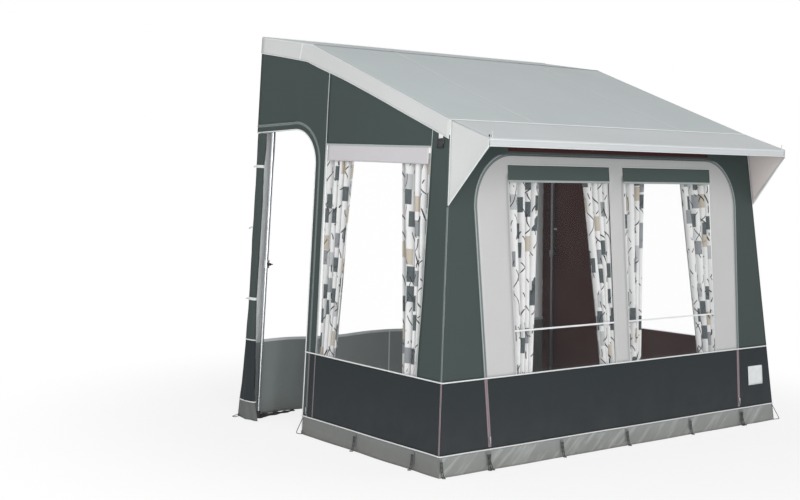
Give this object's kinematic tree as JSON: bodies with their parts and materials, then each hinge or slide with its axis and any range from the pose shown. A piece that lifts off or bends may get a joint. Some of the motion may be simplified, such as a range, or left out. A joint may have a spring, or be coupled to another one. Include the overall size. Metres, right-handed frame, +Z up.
{
  "type": "caravan porch awning",
  "caption": "Framed cloth porch with a sloping roof, short sun canopy, clear windows, curtains, a rolled side door and a closed one, hung against a flat wall.",
  "frame": {"origin": "middle of the footprint, on the ground", "axes": "+X along the wall that the awning hangs on, +Y towards that wall, +Z up; the front looks along -Y"},
  "size_m": [3.0178, 2.115, 2.404],
  "materials": {
    "roof_cloth": "coated cloth, cool grey",
    "canopy_cloth": "coated cloth, light grey",
    "pale_cloth": "coated cloth, pale grey",
    "green_cloth": "coated cloth, dark grey-green",
    "charcoal_cloth": "coated cloth, charcoal",
    "mud_cloth": "smooth coated cloth, mid grey",
    "skirt_cloth": "smooth coated cloth, grey",
    "clear_sheet": "clear flexible film",
    "curtain_cloth": "light printed curtain cloth",
    "zip_tape": "woven zip tape, grey",
    "steel_tube": "galvanised tube",
    "black_plastic": "moulded, black",
    "white_plastic": "extruded bead, white"
  },
  "bodies": {
    "awning": {"canopy_front_tube": "steel_tube", "canopy_panel": "canopy_cloth", "centre_rafter": "steel_tube", "draught_skirt": "skirt_cloth", "eave_tube": "steel_tube", "front_arch_zip": "zip_tape", "front_band": "charcoal_cloth", "front_left_leg_tube": "steel_tube", "front_mud_flap": "mud_cloth", "front_pane": "clear_sheet", "front_panel": "pale_cloth", "front_right_leg_tube": "steel_tube", "front_surround": "green_cloth", "left_band": "charcoal_cloth", "left_canopy_flap": "pale_cloth", "left_canopy_pole": "steel_tube", "left_door_roll": "green_cloth", "left_door_strip": "green_cloth", "left_door_zip": "zip_tape", "left_front_gable": "green_cloth", "left_mud_flap": "mud_cloth", "left_pelmet": "green_cloth", "left_rafter": "steel_tube", "left_rear_gable": "green_cloth", "left_rear_pad": "pale_cloth", "left_valance": "pale_cloth", "left_window": "clear_sheet", "rail_bead": "white_plastic", "rear_left_leg_tube": "steel_tube", "rear_right_leg_tube": "steel_tube", "right_band": "charcoal_cloth", "right_canopy_flap": "pale_cloth", "right_canopy_pole": "steel_tube", "right_front_gable": "green_cloth", "right_mud_flap": "mud_cloth", "right_pelmet": "green_cloth", "right_rafter": "steel_tube", "right_rear_gable": "green_cloth", "right_rear_pad": "pale_cloth", "right_valance": "pale_cloth", "right_window": "clear_sheet", "roof_panel": "roof_cloth"},
    "front_left_lower_leg": {"front_left_leg_slide": "steel_tube"},
    "front_left_knob": {"front_left_clamp_knob": "black_plastic"},
    "front_right_lower_leg": {"front_right_leg_slide": "steel_tube"},
    "front_right_knob": {"front_right_clamp_knob": "black_plastic"},
    "rear_left_lower_leg": {"rear_left_leg_slide": "steel_tube"},
    "rear_left_knob": {"rear_left_clamp_knob": "black_plastic"},
    "rear_right_lower_leg": {"rear_right_leg_slide": "steel_tube"},
    "rear_right_knob": {"rear_right_clamp_knob": "black_plastic"},
    "front_left_slider": {"front_left_zip_slider": "steel_tube"},
    "front_right_slider": {"front_right_zip_slider": "steel_tube"},
    "left_door_slider": {"left_door_zip_slider": "steel_tube"},
    "front_left_outer_curtain_body": {"front_left_outer_curtain": "curtain_cloth"},
    "front_left_inner_curtain_body": {"front_left_inner_curtain": "curtain_cloth"},
    "front_right_outer_curtain_body": {"front_right_outer_curtain": "curtain_cloth"},
    "front_right_inner_curtain_body": {"front_right_inner_curtain": "curtain_cloth"},
    "left_window_rear_curtain_body": {"left_window_rear_curtain": "curtain_cloth"},
    "left_window_front_curtain_body": {"left_window_front_curtain": "curtain_cloth"},
    "right_door": {"right_door_panel": "green_cloth"}
  },
  "joints": [
    {"name": "front_left_leg_length", "type": "slide", "parent": "awning", "child": "front_left_lower_leg", "axis": [-0.0964, -0.0832, -0.9919], "range_m": [-0.15, 0.2]},
    {"name": "front_left_knob_turn", "type": "hinge", "parent": "awning", "child": "front_left_knob", "pos_m": [-1.3632, -0.79418, 0.96539], "axis": [-0.008, 0.9965, -0.0828], "continuous": true},
    {"name": "front_right_leg_length", "type": "slide", "parent": "awning", "child": "front_right_lower_leg", "axis": [0.0964, -0.0832, -0.9919], "range_m": [-0.15, 0.2]},
    {"name": "front_right_knob_turn", "type": "hinge", "parent": "awning", "child": "front_right_knob", "pos_m": [1.3632, -0.79418, 0.96539], "axis": [0.008, 0.9965, -0.0828], "continuous": true},
    {"name": "rear_left_leg_length", "type": "slide", "parent": "awning", "child": "rear_left_lower_leg", "axis": [-0.0385, 0, -0.9993], "range_m": [-0.15, 0.2]},
    {"name": "rear_left_knob_turn", "type": "hinge", "parent": "awning", "child": "rear_left_knob", "pos_m": [-1.31364, 0.9072, 0.97428], "axis": [0, -1, 0], "continuous": true},
    {"name": "rear_right_leg_length", "type": "slide", "parent": "awning", "child": "rear_right_lower_leg", "axis": [0.0385, 0, -0.9993], "range_m": [-0.15, 0.2]},
    {"name": "rear_right_knob_turn", "type": "hinge", "parent": "awning", "child": "rear_right_knob", "pos_m": [1.31364, 0.9072, 0.97428], "axis": [0, -1, 0], "continuous": true},
    {"name": "front_left_zip_run", "type": "slide", "parent": "awning", "child": "front_left_slider", "axis": [-0.0299, 0.103, 0.9942], "range_m": [0, 1.229]},
    {"name": "front_right_zip_run", "type": "slide", "parent": "awning", "child": "front_right_slider", "axis": [0.0299, 0.103, 0.9942], "range_m": [0, 1.229]},
    {"name": "left_door_zip_run", "type": "slide", "parent": "awning", "child": "left_door_slider", "axis": [0.0611, 0.0356, 0.9975], "range_m": [0, 1.428]},
    {"name": "front_left_outer_curtain_draw", "type": "slide", "parent": "awning", "child": "front_left_outer_curtain_body", "axis": [1, 0, 0], "range_m": [0, 0.16]},
    {"name": "front_left_inner_curtain_draw", "type": "slide", "parent": "awning", "child": "front_left_inner_curtain_body", "axis": [-1, 0, 0], "range_m": [0, 0.16]},
    {"name": "front_right_outer_curtain_draw", "type": "slide", "parent": "awning", "child": "front_right_outer_curtain_body", "axis": [-1, 0, 0], "range_m": [0, 0.16]},
    {"name": "front_right_inner_curtain_draw", "type": "slide", "parent": "awning", "child": "front_right_inner_curtain_body", "axis": [1, 0, 0], "range_m": [0, 0.16]},
    {"name": "left_window_rear_curtain_draw", "type": "slide", "parent": "awning", "child": "left_window_rear_curtain_body", "axis": [-0.0076, -1, 0], "range_m": [0, 0.18]},
    {"name": "left_window_front_curtain_draw", "type": "slide", "parent": "awning", "child": "left_window_front_curtain_body", "axis": [0.054, 0.9985, 0], "range_m": [0, 0.18]},
    {"name": "right_door_swing", "type": "hinge", "parent": "awning", "child": "right_door", "pos_m": [1.37933, 1.054, 0.1], "axis": [-0.0388, 0, 0.9992], "range_deg": [0, 80]}
  ]
}
